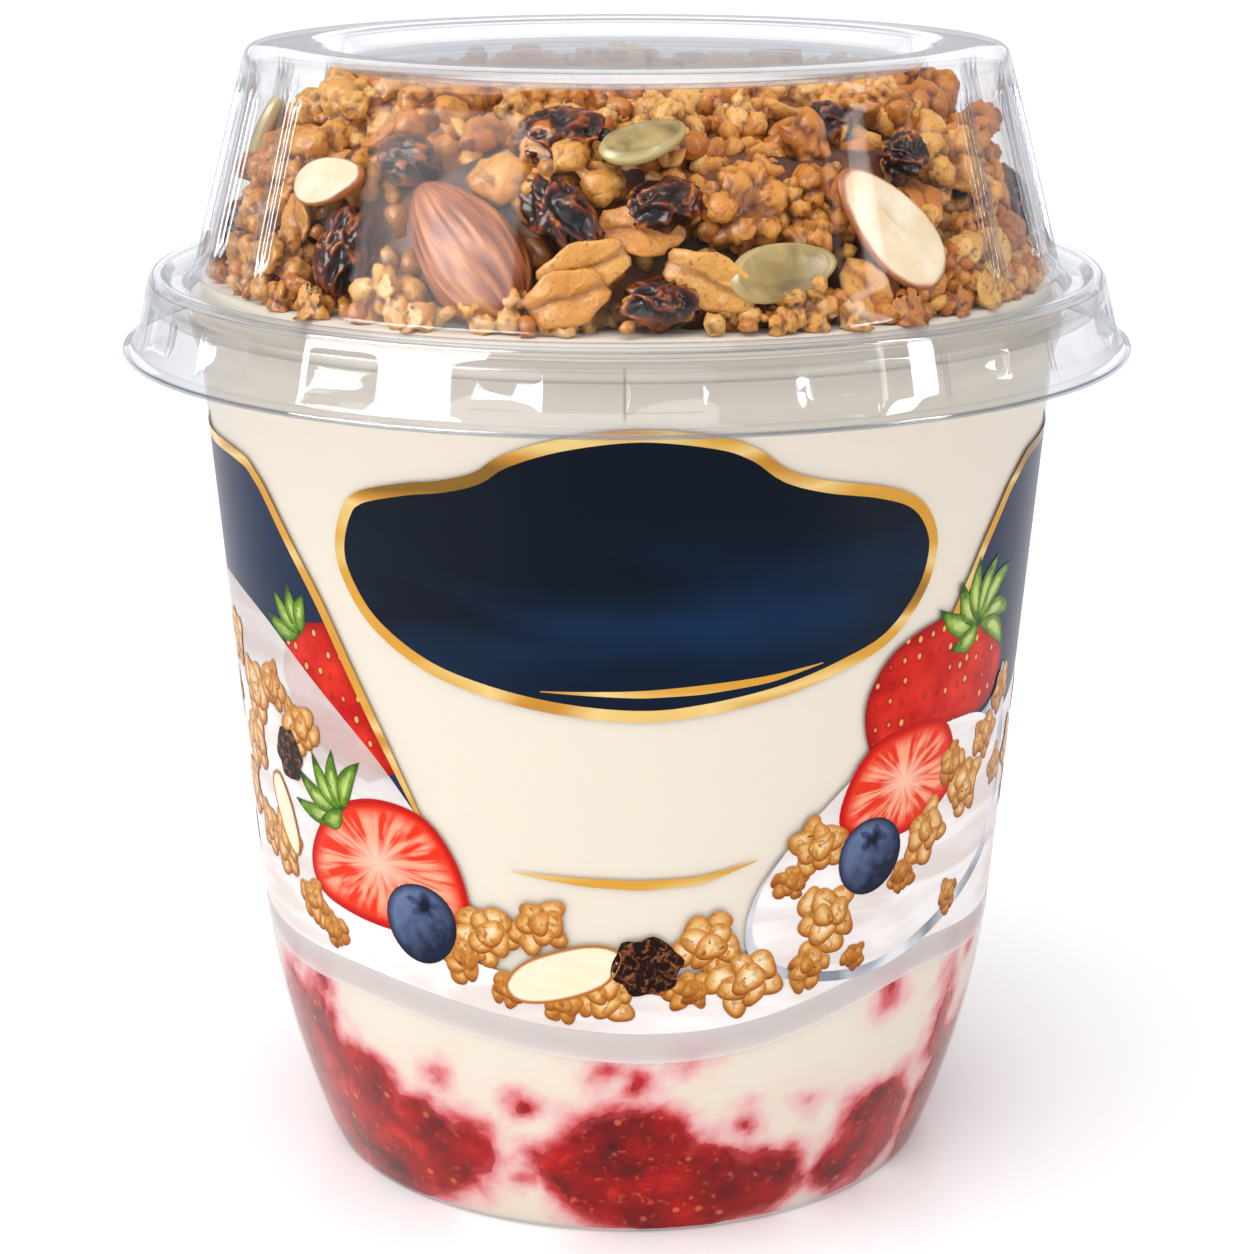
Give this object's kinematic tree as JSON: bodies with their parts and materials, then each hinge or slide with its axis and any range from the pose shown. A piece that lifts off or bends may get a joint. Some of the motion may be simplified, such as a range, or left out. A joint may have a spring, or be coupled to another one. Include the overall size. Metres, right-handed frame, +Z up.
{
  "type": "yogurt parfait",
  "caption": "Clear tub of yogurt with strawberry compote at the bottom, under a clear domed lid that holds granola with raisins, almonds and pumpkin seeds.",
  "frame": {"origin": "centre of the circle that the tub stands on", "axes": "+Z up through the lid, the printed front of the tub faces -Y"},
  "size_m": [0.101, 0.101, 0.1135],
  "materials": {
    "tub": "clear thermoformed polypropylene, slightly milky",
    "lid": "clear thermoformed PET, glossy",
    "print": "glossy printed ink on the tub's wall",
    "yogurt": "smooth moist dairy",
    "compote": "wet translucent fruit",
    "granola": "baked oats in honey, rough",
    "almond": "ribbed brown skin",
    "almond_slice": "cut white almond with a brown rim",
    "pumpkin_seed": "smooth dull green seed",
    "raisin": "wrinkled dark skin"
  },
  "bodies": {
    "root": {"tub": "tub", "dome_lid": "lid", "yogurt": "yogurt", "compote": "compote", "granola": "granola", "almond_1": "almond", "almond_2": "almond", "almond_slice_1": "almond_slice", "almond_slice_2": "almond_slice", "almond_slice_3": "almond_slice", "almond_slice_4": "almond_slice", "pumpkin_seed_1": "pumpkin_seed", "pumpkin_seed_2": "pumpkin_seed", "pumpkin_seed_3": "pumpkin_seed", "pumpkin_seed_4": "pumpkin_seed", "raisin_1": "raisin", "raisin_2": "raisin", "raisin_3": "raisin", "raisin_4": "raisin", "raisin_5": "raisin", "raisin_6": "raisin", "raisin_7": "raisin", "raisin_8": "raisin", "raisin_9": "raisin", "raisin_10": "raisin", "raisin_11": "raisin", "raisin_12": "raisin"}
  },
  "joints": []
}
